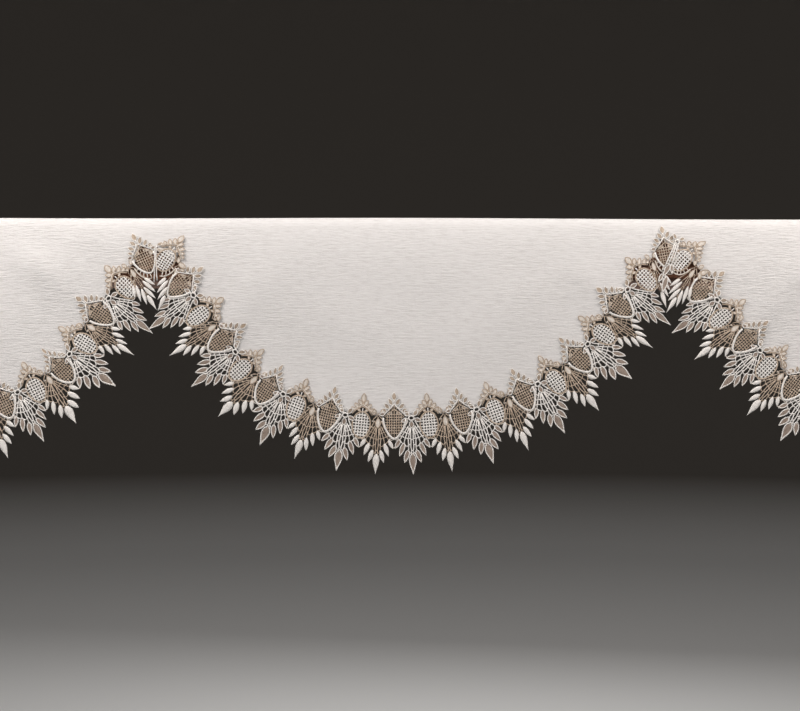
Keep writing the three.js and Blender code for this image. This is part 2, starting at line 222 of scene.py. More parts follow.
class MiddleLine:
    """Middle line of one scallop's lace, from its left peak to its right one."""

    def __init__(self, scallop, index):
        self.scallop = scallop
        self.left = -SCARF_WIDTH / 2 + index * PITCH
        share = np.linspace(0.0, 1.0, LINE_STEPS + 1)
        self.x = self.left + PITCH * share
        self.drop = self.drop_at(share)
        steps = np.hypot(np.diff(self.x), np.diff(self.drop))
        self.along = np.concatenate([[0.0], np.cumsum(steps)])
        self.slope = np.arctan2(np.gradient(self.drop), np.gradient(self.x))
        self.length = self.along[-1]

    def drop_at(self, share):
        shares = np.array([row["share"] for row in DROPS])
        drops = np.array([row[self.scallop["name"]] for row in DROPS], dtype=float)
        last = len(shares) - 1
        before, after = np.maximum(np.arange(last + 1) - 1, 0), np.minimum(np.arange(last + 1) + 1, last)
        steep = (drops[after] - drops[before]) / (shares[after] - shares[before])
        i = np.clip(np.searchsorted(shares, share, side="right") - 1, 0, last - 1)
        width = shares[i + 1] - shares[i]
        t = (share - shares[i]) / width
        at_from = (1 + 2 * t) * (1 - t) ** 2 * drops[i] + t * (1 - t) ** 2 * width * steep[i]
        at_to = t * t * (3 - 2 * t) * drops[i + 1] + t * t * (t - 1) * width * steep[i + 1]
        return at_from + at_to

    def along_of(self, count):
        unit = (self.length - FIRST_OVAL - LAST_OVAL) / (OVALS - 1)
        return FIRST_OVAL + unit * (count - UNEVEN * np.sin(math.pi / 2 * count) ** 2)

    def place(self, count, v):
        """Where a place counted in ovals lies on the front, v out across the lace: x, z, along, tilt."""
        along = self.along_of(np.asarray(count, dtype=float))
        beyond = np.minimum(along, 0.0) + np.maximum(along - self.length, 0.0)
        x, drop, slope = (np.interp(along, self.along, track) for track in (self.x, self.drop, self.slope))
        from_end = np.minimum(along, self.length - along)
        on_left = along < self.length / 2
        crown, fan = (np.where(on_left, lean["left"], lean["right"]) for lean in (LEAN_CROWN, LEAN_FAN))
        at_end = mix(crown, fan, smoothstep(v, -LEAN_BLEND, LEAN_BLEND))
        tilt = slope * mix(at_end, 1.0, smoothstep(from_end, 0.0, LEAN_LENGTH))
        shorter = SHORT_FAN * (1 - smoothstep(from_end, SHORT_FROM, LEAN_LENGTH))
        out = v * np.where(v > 0, 1 - shorter, 1.0)
        z = SHELF_TOP - drop - out * np.cos(tilt) + hung(x)
        return x + beyond - out * np.sin(tilt), z, along, tilt

    def lift(self, along, x):
        """How far in front of its usual place the lace lies."""
        over_neighbour = LAP * (1 - smoothstep(along, LAP_FULL, LAP_END)) if self.scallop["laps"] else 0.0
        inner = SCARF_WIDTH / 2 - HEM_WIDTH
        return over_neighbour + HEM_EXTRA * smoothstep(np.abs(x), inner - 40, inner - 4)


LINES = [MiddleLine(scallop, index) for index, scallop in enumerate(SCALLOPS)]


# Materials

class Nodes:
    """Short calls for wiring one material."""

    def __init__(self, name):
        self.material = bpy.data.materials.new(name)
        self.material.use_nodes = True
        self.tree = self.material.node_tree
        self.shader = self.tree.nodes["Principled BSDF"]

    def add(self, kind, **inputs):
        node = self.tree.nodes.new(kind)
        for key, value in inputs.items():
            node.inputs[key.replace("_", " ")].default_value = value
        return node

    def link(self, out, into):
        self.tree.links.new(out, into)

    def set(self, **values):
        for key, value in values.items():
            self.shader.inputs[key.replace("_", " ")].default_value = value

    def mapped(self, source, scale, rotation=(0, 0, 0)):
        mapping = self.add("ShaderNodeMapping")
        mapping.inputs["Scale"].default_value = scale
        mapping.inputs["Rotation"].default_value = rotation
        self.link(source, mapping.inputs["Vector"])
        return mapping.outputs["Vector"]

    def noise(self, vector, scale, detail=2.0, roughness=0.5, distortion=0.0):
        form = {"Scale": scale, "Detail": detail, "Roughness": roughness, "Distortion": distortion}
        node = self.add("ShaderNodeTexNoise", **form)
        self.link(vector, node.inputs["Vector"])
        return node.outputs["Fac"]

    def bands(self, vector, scale, direction="X", distortion=0.0):
        node = self.add("ShaderNodeTexWave", Scale=scale, Distortion=distortion)
        node.bands_direction = direction
        self.link(vector, node.inputs["Vector"])
        return node.outputs["Fac"]

    def ramp(self, fac, *stops):
        node = self.add("ShaderNodeValToRGB")
        ramp = node.color_ramp
        while len(ramp.elements) < len(stops):
            ramp.elements.new(0.5)
        for element, (position, color) in zip(ramp.elements, stops):
            element.position = position
            element.color = (*color, 1.0)
        self.link(fac, node.inputs["Fac"])
        return node.outputs["Color"]

    def bump(self, height, strength, distance, onto=None):
        node = self.add("ShaderNodeBump", Strength=strength, Distance=distance)
        self.link(height, node.inputs["Height"])
        if onto is not None:
            self.link(onto, node.inputs["Normal"])
        return node.outputs["Normal"]

    def times(self, first, second):
        node = self.tree.nodes.new("ShaderNodeMath")
        node.operation = "MULTIPLY"
        self.link(first, node.inputs[0])
        self.link(second, node.inputs[1])
        return node.outputs["Value"]

    def away_from_middle(self, weave):
        """0.85 in the middle scallop, growing to 1.8 in the outer ones, where the yarn is coarser."""
        split = self.tree.nodes.new("ShaderNodeSeparateXYZ")
        self.link(weave, split.inputs["Vector"])
        distance = self.tree.nodes.new("ShaderNodeMath")
        distance.operation = "ABSOLUTE"
        self.link(split.outputs["X"], distance.inputs[0])
        spread = self.tree.nodes.new("ShaderNodeMapRange")
        spread.inputs["From Min"].default_value = 0.1
        spread.inputs["From Max"].default_value = 0.5
        spread.inputs["To Min"].default_value = 0.85
        spread.inputs["To Max"].default_value = 1.8
        self.link(distance.outputs["Value"], spread.inputs["Value"])
        return spread.outputs["Result"]

    def uv(self, name):
        node = self.tree.nodes.new("ShaderNodeUVMap")
        node.uv_map = name
        return node.outputs["UV"]

    def object_place(self):
        return self.tree.nodes.new("ShaderNodeTexCoord").outputs["Object"]


def cloth_material():
    """Off-white cotton with an uneven weft that shows as short, fine lines along the scarf."""
    n = Nodes("slub_cotton")
    weave = n.uv("weave")
    slub = n.noise(n.mapped(weave, (62, 430, 1)), 1.0, detail=4, roughness=0.66, distortion=0.12)
    cross = n.noise(n.mapped(weave, (300, 70, 1)), 1.0, detail=3, roughness=0.6)
    crinkle = n.noise(n.mapped(weave, (20, 110, 1)), 1.0, detail=2)
    patches = n.noise(n.mapped(weave, (9, 13, 1)), 1.0, detail=2)
    coarser = n.times(patches, n.away_from_middle(weave))
    weft = n.bands(n.mapped(weave, (1, 1, 1)), 190.0, "Y", distortion=1.5)
    warp = n.bands(n.mapped(weave, (1, 1, 1)), 230.0, "X", distortion=1.0)
    dark, middle, light = (0.67, 0.65, 0.64), (0.77, 0.757, 0.749), (0.815, 0.804, 0.797)
    n.link(n.ramp(slub, (0.27, dark), (0.5, middle), (0.76, light)), n.shader.inputs["Base Color"])
    n.set(Roughness=0.88, Sheen_Weight=0.25, Sheen_Roughness=0.5)
    relief = n.bump(warp, 0.15, 0.00012)
    relief = n.bump(weft, 0.2, 0.00014, relief)
    relief = n.bump(n.times(cross, coarser), 0.3, 0.0012, relief)
    relief = n.bump(n.times(crinkle, coarser), 0.4, 0.0016, relief)
    relief = n.bump(n.times(slub, coarser), 0.8, 0.0022, relief)
    n.link(relief, n.shader.inputs["Normal"])
    return n.material


def yarn_material(name, dark, light, stitch=0.6):
    """Mercerised thread: stitches lie side by side across each worked stroke."""
    n = Nodes(name)
    stroke = n.uv("stroke")
    threads = n.bands(n.mapped(stroke, (1, 1, 1), (0, 0, 0.18)), 0.28, "X", distortion=0.8)
    patchy = n.noise(n.object_place(), 130.0, detail=2)
    tone = n.ramp(patchy, (0.3, dark), (0.7, light))
    n.link(tone, n.shader.inputs["Base Color"])
    n.set(Roughness=0.55, Sheen_Weight=0.2, Sheen_Roughness=0.4)
    relief = n.bump(threads, stitch, 0.0004)
    n.link(relief, n.shader.inputs["Normal"])
    return n.material


def wood_material():
    """Stained softwood with long grain and a worn satin finish."""
    n = Nodes("stained_beam")
    place = n.object_place()
    drift = n.noise(n.mapped(place, (0.7, 6, 6)), 1.0, detail=3)
    grain = n.noise(n.mapped(place, (2.2, 48, 48)), 1.0, detail=6, roughness=0.62, distortion=0.6)
    pores = n.noise(n.mapped(place, (9, 320, 320)), 1.0, detail=3, roughness=0.7)
    from_pith = n.tree.nodes.new("ShaderNodeMapping")
    from_pith.inputs["Location"].default_value = (0.0, 0.09, -0.13)
    n.link(place, from_pith.inputs["Vector"])
    rings = n.add("ShaderNodeTexWave", Scale=34.0, Distortion=3.0, Detail=2.0, Detail_Scale=2.0)
    rings.wave_type, rings.rings_direction = "RINGS", "X"
    n.link(n.mapped(from_pith.outputs["Vector"], (0.3, 1, 1)), rings.inputs["Vector"])
    figure = n.tree.nodes.new("ShaderNodeMix")
    figure.inputs["Factor"].default_value = 0.5
    n.link(grain, figure.inputs["A"])
    n.link(rings.outputs["Fac"], figure.inputs["B"])
    dark, middle, light = (0.075, 0.028, 0.013), (0.2, 0.08, 0.037), (0.33, 0.145, 0.073)
    color = n.ramp(figure.outputs["Result"], (0.2, dark), (0.5, middle), (0.8, light))
    shade = n.ramp(drift, (0.3, (0.72, 0.66, 0.62)), (0.7, (1.0, 1.0, 1.0)))
    blend = n.tree.nodes.new("ShaderNodeMix")
    blend.data_type = "RGBA"
    blend.blend_type = "MULTIPLY"
    blend.inputs["Factor"].default_value = 1.0
    n.link(color, blend.inputs["A"])
    n.link(shade, blend.inputs["B"])
    n.link(blend.outputs["Result"], n.shader.inputs["Base Color"])
    polish = n.ramp(pores, (0.35, (0.62, 0.62, 0.62)), (0.7, (0.38, 0.38, 0.38)))
    n.link(polish, n.shader.inputs["Roughness"])
    relief = n.bump(pores, 0.25, 0.0004)
    relief = n.bump(grain, 0.3, 0.0008, relief)
    n.link(relief, n.shader.inputs["Normal"])
    return n.material


def plain_material(name, low, high, low_z, high_z):
    """Matt paint that turns from one tone to another with height."""
    n = Nodes(name)
    split = n.tree.nodes.new("ShaderNodeSeparateXYZ")
    n.link(n.object_place(), split.inputs["Vector"])
    height = n.tree.nodes.new("ShaderNodeMapRange")
    height.inputs["From Min"].default_value = low_z
    height.inputs["From Max"].default_value = high_z
    n.link(split.outputs["Z"], height.inputs["Value"])
    n.link(n.ramp(height.outputs["Result"], (0.0, low), (1.0, high)), n.shader.inputs["Base Color"])
    n.set(Roughness=0.95)
    return n.material


YARNS = {
    "white": yarn_material("white_yarn", (0.82, 0.79, 0.755), (0.92, 0.9, 0.87), stitch=0.45),
    "pale": yarn_material("pale_yarn", (0.72, 0.65, 0.57), (0.86, 0.80, 0.73)),
    "tan": yarn_material("tan_yarn", (0.44, 0.34, 0.25), (0.64, 0.52, 0.41)),
    "mocha": yarn_material("mocha_yarn", (0.33, 0.255, 0.19), (0.52, 0.425, 0.335)),
    "taupe": yarn_material("taupe_yarn", (0.27, 0.205, 0.165), (0.38, 0.305, 0.25)),
}
YARN_SLOTS = {name: index for index, name in enumerate(YARNS)}


def mesh_object(name, points, faces, uv_name, uvs, materials, face_slots=None):
    """One smooth mesh from points in millimetres, with a UV for each face corner."""
    mesh = bpy.data.meshes.new(name)
    mesh.from_pydata((np.asarray(points) * MM).tolist(), [], faces)
    layer = mesh.uv_layers.new(name=uv_name)
    layer.data.foreach_set("uv", np.asarray(uvs, dtype=np.float32).ravel())
    for material in materials:
        mesh.materials.append(material)
    if face_slots is not None:
        mesh.polygons.foreach_set("material_index", face_slots)
    mesh.polygons.foreach_set("use_smooth", np.ones(len(faces), dtype=bool))
    mesh.update()
    return new_object(name, mesh)


# Cloth

CLOTH_STEP = 4.0
HANG_ROWS = 40
BEND_ROWS = 12
EDGE_AT_OVAL = -27.5
EDGE_AT_FAN = -13.0
EDGE_SLANT = 16.7


def cloth_edge():
    """The panel's cut edge, up behind the crowns and down at the flowers, as columns of x and z."""
    places = []
    for line in LINES:
        counts = np.linspace(0, OVALS - 1, 12 * (OVALS - 1) + 1)
        aside = np.abs(counts - np.round(counts)) * UNIT
        v = mix(EDGE_AT_OVAL, EDGE_AT_FAN, np.minimum(1.0, aside / EDGE_SLANT))
        x, z, _, _ = line.place(counts, v)
        places += list(zip(x, z))
    places += [(line.left, SHELF_TOP - PEAK_CLOTH_DROP + hung(line.left)) for line in LINES[1:]]
    places.sort()
    half = SCARF_WIDTH / 2
    places = [(-half, places[0][1]), *places, (half, places[-1][1])]
    xs, zs = np.array(places).T
    columns = np.linspace(-half, half, round(SCARF_WIDTH / CLOTH_STEP) + 1)
    hem_lines = [side * (half - HEM_WIDTH + step) for side in (-1, 1) for step in (-0.7, 0.0)]
    columns = np.unique(np.concatenate([columns, hem_lines]))
    return columns, np.interp(columns, xs, zs)


def cloth_piece():
    columns, edge_z = cloth_edge()
    crest = CREST["height"] * (1 + np.sin(2 * math.pi * columns / CREST["length"] + CREST["phase"]))
    top = SHELF_TOP + REST_GAP
    rows = []
    flat_ys = [BACK_HEM_Y, BACK_HEM_Y - 6, BACK_HEM_Y - HEM_WIDTH, BACK_HEM_Y - HEM_WIDTH - 0.7]
    flat_ys += list(np.linspace(-120, TOP_FLAT_END_Y, 8))
    for y in flat_ys:
        extra = HEM_EXTRA if y >= BACK_HEM_Y - HEM_WIDTH else 0.0
        rows.append((np.full_like(columns, y), np.full_like(columns, top), 0.0, extra))
    for t in (0.25, 0.5, 0.75):
        rise = t * t * (3 - 2 * t)
        z = mix(top, BEND_MIDDLE_Z + BEND_DEEP + crest, rise)
        rows.append((np.full_like(columns, mix(TOP_FLAT_END_Y, BEND_MIDDLE_Y, t)), z, 0.0, 0.0))
    for i in range(BEND_ROWS + 1):
        turn = i / BEND_ROWS * BEND_END
        y = np.full_like(columns, BEND_MIDDLE_Y - BEND_WIDE * math.sin(turn))
        z = BEND_MIDDLE_Z + BEND_DEEP * math.cos(turn) + crest * (1 - i / BEND_ROWS)
        facing = math.atan2(math.sin(turn) / BEND_WIDE, math.cos(turn) / BEND_DEEP)
        rows.append((y, z, facing, 0.0))
    for i in range(1, HANG_ROWS + 1):
        z = mix(BEND_END_Z, edge_z, i / HANG_ROWS)
        y = hanging_y(columns, z)
        rows.append((y, z, math.pi / 2, 0.0))
    side_hem = np.where(np.abs(columns) >= SCARF_WIDTH / 2 - HEM_WIDTH - 0.1, HEM_EXTRA, 0.0)

    count = len(columns)
    back = np.array([np.stack([columns, y, z], axis=1) for y, z, _, _ in rows])
    front = back.copy()
    for j, (_, _, turn, extra) in enumerate(rows):
        thick = CLOTH_THICKNESS + np.maximum(extra, side_hem)
        front[j, :, 1] -= thick * math.sin(turn)
        front[j, :, 2] += thick * math.cos(turn)
    points = np.concatenate([back.reshape(-1, 3), front.reshape(-1, 3)])
    total = len(rows) * count
    fall = np.zeros((len(rows), count))
    fall[1:] = np.cumsum(np.linalg.norm(np.diff(back, axis=0), axis=2), axis=0)
    flat_uv = np.stack([back[:, :, 0], fall], axis=2).reshape(-1, 2) * MM
    flat_uv = np.concatenate([flat_uv, flat_uv])

    faces = []
    for j in range(len(rows) - 1):
        for i in range(count - 1):
            a, b, c, d = j * count + i, j * count + i + 1, (j + 1) * count + i + 1, (j + 1) * count + i
            faces.append((a, b, c, d))
            faces.append((total + a, total + d, total + c, total + b))
    last = (len(rows) - 1) * count
    for i in range(count - 1):
        faces.append((i, total + i, total + i + 1, i + 1))
        faces.append((last + i, last + i + 1, total + last + i + 1, total + last + i))
    for j in range(len(rows) - 1):
        a, b = j * count, (j + 1) * count
        faces.append((a, b, total + b, total + a))
        a, b = a + count - 1, b + count - 1
        faces.append((a, total + a, total + b, b))
    uvs = flat_uv[np.array(faces).ravel()]
    return mesh_object("scarf_cloth", points, faces, "weave", uvs, [cloth_material()])


# Lace

class Pen:
    """Works strokes on one trim. Drawn places are (aside, out) from a motif's middle, in millimetres."""

    SIDES = 6
    WOBBLE = 0.35
    TURN = 0.02
    CURL_LIFT = 1.6

    def __init__(self, line):
        self.line = line
        self.count, self.v, self.level = [], [], []
        self.own_x, self.own_z, self.own, self.moves = [], [], [], []
        self.faces, self.slots, self.uvs = [], [], []
        self.total = 0
        self.at(0.0)

    def at(self, count, left=1.0, right=1.0, longer=0.0):
        """Starts a motif, with a slight unevenness of its own."""
        self.origin = count
        self.squeeze = (left, right)
        self.shift = rng.uniform(-self.WOBBLE, self.WOBBLE, 2)
        self.turn = rng.uniform(-self.TURN, self.TURN)
        self.curl = rng.uniform(-1.0, 1.0)
        x, z, along, tilt = (float(value) for value in self.line.place(count, 0.0))
        self.move, self.bend = (0.0, 0.0), 0.0
        for row in OWN_PLACES:
            if row["scallop"] == self.line.scallop["name"] and row["count"] == count:
                tilt = math.radians(row["degrees"]) if "degrees" in row else tilt
                self.move, self.bend = (float(row["right"]), float(-row["down"])), row.get("bend", 0)
        from_end = min(along, self.line.length - along)
        self.middle, self.tilt = (x, z), tilt
        self.share = float(1 - smoothstep(from_end, OWN_SHAPE_TO, OWN_SHAPE_END))
        self.shorter = float(SHORT_FAN * (1 - smoothstep(from_end, SHORT_FROM, LEAN_LENGTH))) - longer

    def toward(self, dx, down):
        """Drawn place of a spot that lies dx to the right of the motif's middle and so far below it."""
        c, s = math.cos(self.tilt), math.sin(self.tilt)
        aside, out = dx * c + down * s, down * c - dx * s
        return aside, out / (1 - self.shorter) if out > 0 else out

    def put(self, aside, out, level):
        aside, out = np.asarray(aside, dtype=float), np.asarray(out, dtype=float)
        c, s = math.cos(self.turn), math.sin(self.turn)
        aside, out = aside * c - out * s + self.shift[0], aside * s + out * c + self.shift[1]
        aside = np.where(aside < 0, aside * self.squeeze[0], aside * self.squeeze[1])
        tip = np.clip((out - 30.0) / 40.0, 0.0, 1.0)
        near = out * np.where(out > 0, 1 - self.shorter, 1.0)
        c, s = math.cos(self.tilt), math.sin(self.tilt)
        bent = aside + self.bend * (out / 40.0) ** 2
        self.own_x.append(self.middle[0] + bent * c - near * s)
        self.own_z.append(self.middle[1] - bent * s - near * c)
        self.own.append(np.full(len(out), self.share))
        self.moves.append(np.tile(self.move, (len(out), 1)))
        self.count.append(self.origin + aside / UNIT)
        self.v.append(out)
        self.level.append(np.asarray(level, dtype=float) + self.curl * self.CURL_LIFT * tip * tip)

    def stroke(self, points, width, yarn, height=None, level=0.0, closed=False):
        """A worked cord along some points; width, height and level may change along it."""
        path = np.asarray(points, dtype=float)
        n = len(path)
        width = np.broadcast_to(np.asarray(width, dtype=float), n)
        height = np.broadcast_to(np.asarray(width * 0.75 if height is None else height, dtype=float), n)
        level = np.broadcast_to(np.asarray(level, dtype=float), n)
        if closed:
            tangent = np.roll(path, -1, axis=0) - np.roll(path, 1, axis=0)
        else:
            tangent = np.gradient(path, axis=0)
        tangent /= np.maximum(np.linalg.norm(tangent, axis=1, keepdims=True), 1e-9)
        normal = np.stack([-tangent[:, 1], tangent[:, 0]], axis=1)
        turn = 2 * math.pi * np.arange(self.SIDES) / self.SIDES
        across = 0.5 * width[:, None] * np.cos(turn)
        rise = 0.5 * height[:, None] * np.sin(turn) + level[:, None]
        aside = path[:, 0:1] + normal[:, 0:1] * across
        out = path[:, 1:2] + normal[:, 1:2] * across
        self.put(aside.ravel(), out.ravel(), rise.ravel())

        lengths = np.linalg.norm(np.diff(path, axis=0, append=path[:1]), axis=1)
        reach = np.concatenate([[0.0], np.cumsum(lengths)])
        for i in range(n if closed else n - 1):
            first, second = self.total + i * self.SIDES, self.total + (i + 1) % n * self.SIDES
            for k in range(self.SIDES):
                k2 = (k + 1) % self.SIDES
                self.faces.append((first + k, second + k, second + k2, first + k2))
                side, side2 = k / self.SIDES, (k + 1) / self.SIDES
                near, far = reach[i], reach[i + 1]
                self.uvs += [(near, side), (far, side), (far, side2), (near, side2)]
                self.slots.append(YARN_SLOTS[yarn])
        if not closed:
            for i, ring in ((0, range(self.SIDES)), (n - 1, reversed(range(self.SIDES)))):
                self.faces.append(tuple(self.total + i * self.SIDES + k for k in ring))
                self.uvs += [(reach[i], k / self.SIDES) for k in range(self.SIDES)]
                self.slots.append(YARN_SLOTS[yarn])
        self.total += n * self.SIDES

    def both(self, points, width, yarn, **more):
        """The same stroke to the right and, mirrored, to the left."""
        self.stroke(points, width, yarn, **more)
        self.stroke([(-aside, out) for aside, out in points], width, yarn, **more)

    def leaf(self, base, tip, half, yarn, height=1.8, level=0.0, point=1.0, steps=8):
        """A raised satin leaf: widest before its middle, thin at the tip."""
        t = np.linspace(0.03, 0.99, steps + 1)
        swell = self.swell(t, point)
        path = np.outer(1 - t, base) + np.outer(t, tip)
        self.stroke(path, 2 * half * swell, yarn, height=height * np.sqrt(swell), level=level)

    @staticmethod
    def swell(t, point):
        raw = np.sin(math.pi * t) ** 0.75 * (1 - t) ** (0.45 * point)
        grid = np.linspace(0, 1, 60)
        return raw / np.max(np.sin(math.pi * grid) ** 0.75 * (1 - grid) ** (0.45 * point)) + 0.04

    def outlined(self, base, tip, half, outline, fill, width=1.25, point=1.0, steps=7, level=0.0):
        """A leaf or bud with a filled middle and a corded outline."""
        base, tip = np.asarray(base, dtype=float), np.asarray(tip, dtype=float)
        filled = {"height": 0.9, "level": level - 0.15, "point": point, "steps": steps}
        self.leaf(base, tip, half * 0.92, fill, **filled)
        axis = tip - base
        side = np.array([-axis[1], axis[0]]) / np.linalg.norm(axis)
        t = np.linspace(0.0, 1.0, steps + 1)
        swell = (self.swell(t, point) - 0.04) * (half - width * 0.35)
        up = base + np.outer(t, axis) + np.outer(swell, side)
        down = base + np.outer(t, axis) - np.outer(swell, side)
        loop = np.concatenate([up, down[-2:0:-1]])
        self.stroke(loop, width, outline, level=level + 0.15, closed=True)

    def finish(self, name):
        count, v, level = (np.concatenate(part) for part in (self.count, self.v, self.level))
        own_x, own_z, own = (np.concatenate(part) for part in (self.own_x, self.own_z, self.own))
        x, z, along, _ = self.line.place(count, v)
        moves = np.concatenate(self.moves)
        x, z = mix(x, own_x, own) + moves[:, 0], mix(z, own_z, own) + moves[:, 1]
        rest = CLOTH_THICKNESS + LACE_GAP + LACE_THICKNESS / 2
        y = hanging_y(x, z) - rest - self.line.lift(along, x) - level
        points = np.stack([x, y, z], axis=1)
        return mesh_object(name, points, self.faces, "stroke", self.uvs, list(YARNS.values()), self.slots)


WEAVE_RISE = 0.32


def weave_level(index, crossings, sign):
    return np.array([WEAVE_RISE * sign * (-1) ** (index + k) for k in range(crossings)])


def lattice(pen, columns, rows, yarn, width, top, bottom, half_width):
    """Plain-woven bars: columns cross rows over and under, each cut to the oval's outline."""
    for i, aside in enumerate(columns):
        inner = [out for out in rows if top(aside) + 1.0 < out < bottom(aside) - 1.0]
        outs = [top(aside), *inner, bottom(aside)]
        level = weave_level(i, len(outs), 1)
        pen.stroke([(aside, out) for out in outs], width, yarn, height=1.2, level=level)
    for j, out in enumerate(rows):
        reach = half_width(out)
        inner = [aside for aside in columns if abs(aside) < reach - 1.0]
        asides = [-reach, *inner, reach]
        level = weave_level(j, len(asides), -1)
        pen.stroke([(aside, out) for aside in asides], width, yarn, height=1.2, level=level)


def ellipse(half_width, half_height, steps=28):
    turn = np.linspace(0, 2 * math.pi, steps, endpoint=False)
    return np.stack([half_width * np.cos(turn), half_height * np.sin(turn)], axis=1)


def white_oval(pen):
    """Oval A: a white lattice in a tan rope, under a crown of round looped buds."""
    half_width = 12.4
    half_height = lambda out: 19.8 if out > 0 else 16.2
    reach = lambda out: half_width * math.sqrt(max(0.0, 1 - (out / half_height(out)) ** 2))
    share = lambda aside: math.sqrt(max(0.0, 1 - (aside / half_width) ** 2))
    columns = [4.1 * k for k in range(-2, 3)]
    rows = [-12.6 + 4.2 * k for k in range(8)]
    lattice(pen, columns, rows, "white", 1.8, lambda a: -16.2 * share(a), lambda a: 19.8 * share(a), reach)
    rope = ellipse(13.3, 17.3)
    rope[:, 1] = np.where(rope[:, 1] > 0, rope[:, 1] * 21 / 17.3, rope[:, 1])
    pen.stroke(rope, 2.1, "tan", height=1.9, closed=True)
    pen.stroke([(0, -16.5), (0, -20), (0, -23)], 1.6, "white")
    pen.both([(15.6, -12.8), (9.2, -20.2), (0, -25.6)], 1.5, "tan", level=0.2)
    pen.both([(18.2, -14), (10.8, -21.6), (0, -27.8)], 1.4, "pale", level=0.2)
    pen.stroke([(0, -25), (0, -32)], 2.0, "tan")
    pen.outlined((0, -31.2), (0, -44.2), 4.1, "tan", "pale", point=0.1)
    for side in (-1, 1):
        for (a, v), (a2, v2), half, width, point in (
            ((1.8, -26.8), (7.6, -34.4), 3.1, 1.25, 0.15),
            ((6.6, -23), (13.4, -28.6), 3.0, 1.25, 0.15),
            ((3.2, -18.6), (8.4, -20.4), 1.9, 1.1, 0.2),
            ((11.4, -18.2), (17.6, -22.4), 2.7, 1.25, 0.15),
            ((16, -14.6), (20.6, -17.6), 2.1, 1.25, 0.15),
        ):
            pen.outlined((side * a, v), (side * a2, v2), half, "tan", "pale", width=width, point=point)


def taupe_oval(pen):
    """Oval B: a taupe lattice held by a heavy white cord, under a roof of filled buds."""
    depth, spread, top_at, steep = 19.6, 15.0, -20.6, 0.7
    bottom = lambda aside: depth * (1 - (abs(aside) / spread) ** 1.5)
    top = lambda aside: top_at + steep * abs(aside)
    low_reach = lambda out: spread * (1 - max(out, 0.0) / depth) ** (1 / 1.5)
    reach = lambda out: min(13.4, low_reach(out), (out - top_at) / steep)
    columns = [3.5 * k for k in range(-3, 4)]
    rows = [-14.6 + 3.9 * k for k in range(8)]
    lattice(pen, columns, rows, "tan", 1.25, top, bottom, reach)
    cord = [(17.0, -10), (16.4, -3.4), (14.1, 4), (11.2, 9.4), (8.2, 14.2), (4.3, 18.8), (0, 20.8)]
    cord = cord + [(-aside, out) for aside, out in cord[-2::-1]]
    pen.stroke(cord, 3.2, "white", height=2.4, level=0.35)
    pen.both([(16.8, -13), (8.2, -21.5), (0, -30)], 1.8, "white", level=0.3)
    pen.both([(14.6, -11.6), (7.4, -17), (0, -22.6)], 1.5, "tan", level=0.25)
    pen.stroke([(0, -20), (0, -30)], 1.5, "tan")
    pen.both([(3.2, -19.6), (3.4, -26)], 1.3, "mocha")
    pen.both([(7, -16.6), (7.4, -22)], 1.2, "mocha")
    pen.stroke([(0, -29.5), (0, -36.5)], 1.9, "white")
    pen.outlined((0, -35.2), (0, -47.2), 4.1, "white", "tan", width=1.3, point=0.2)
    for side in (-1, 1):
        pen.outlined((side * 3.4, -17.2), (side * 11.5, -14.8), 2.1, "pale", "mocha", width=1.0, point=0.5)
        for (a, v), (a2, v2), half in (
            ((2.8, -28.4), (8.8, -38), 3.5),
            ((7.6, -23.2), (15.2, -30.6), 3.4),
            ((12, -18.6), (18.8, -23.4), 2.9),
        ):
            pen.outlined((side * a, v), (side * a2, v2), half, "white", "mocha", width=1.3, point=0.3)
        low_bud = (side * 14.6, -15.4), (side * 22.6, -14.4), 3.0
        pen.outlined(*low_bud, "white", "taupe", width=1.3, point=0.4, level=0.5)


FAN_RIBS = (
    [(1.6, 5), (1.9, 14), (1.5, 22), (2.1, 31), (1.2, 38), (1.6, 46)],
    [(2.2, 5), (3.8, 14), (5.3, 22), (5.0, 31), (5.6, 38.5)],
    [(3.2, 4), (7.0, 13), (9.6, 20.5), (11.2, 28)],
    [(4.2, 2), (10.0, 11), (14.0, 17.5), (17.0, 22.5)],
    [(5.0, -5), (9.3, 3), (13.4, 10.5), (17.3, 16.5), (20.6, 21.5)],
)
FAN_BARS = (
    [(1.9, 14), (3.8, 14)],
    [(1.5, 22), (3.4, 20.3), (5.3, 22)],
    [(2.1, 31), (3.6, 29), (5.0, 31)],
    [(1.2, 40), (3.2, 42.3), (5.6, 38.5)],
    [(3.8, 14), (7.0, 12.6)],
    [(5.3, 22), (7.4, 19.6), (9.6, 20.5)],
    [(5.0, 31), (8.2, 32), (11.2, 28)],
    [(7.0, 13), (10.0, 10.6)],
    [(9.6, 20.5), (12, 17.8), (14.0, 17.5)],
    [(11.2, 28), (14.6, 26.4), (17.0, 22.5)],
    [(10.0, 11), (13.4, 10.5)],
    [(14.0, 17.5), (17.3, 16.5)],
    [(6.8, 6), (9.3, 3)],
)
FAN_LEAVES = (
    {"base": (5.2, 36.5), "tip": (11.0, 55.5), "half": 3.2},
    {"base": (10.8, 26.5), "tip": (17.7, 46), "half": 3.2},
    {"base": (16.6, 21.5), "tip": (24.0, 34.8), "half": 2.9},
)
LONG_LEAF = {"base": (0.0, 42.0), "tip": (0.0, 73.0), "half": 4.5}


def fan_strands(pen, yarn, width, sides=(-1, 1), folded=False):
    for side in sides:
        for rib in FAN_RIBS[::2] if folded else FAN_RIBS:
            pen.stroke([(side * a, v) for a, v in rib], width, yarn)
        if folded:
            continue
        for bar in FAN_BARS:
            pen.stroke([(side * a, v) for a, v in bar], width * 0.9, yarn)
    pen.stroke([(-1.5, 22), (1.5, 22)], width * 0.9, yarn)
    pen.stroke([(-1.2, 38), (1.2, 38)], width * 0.9, yarn)


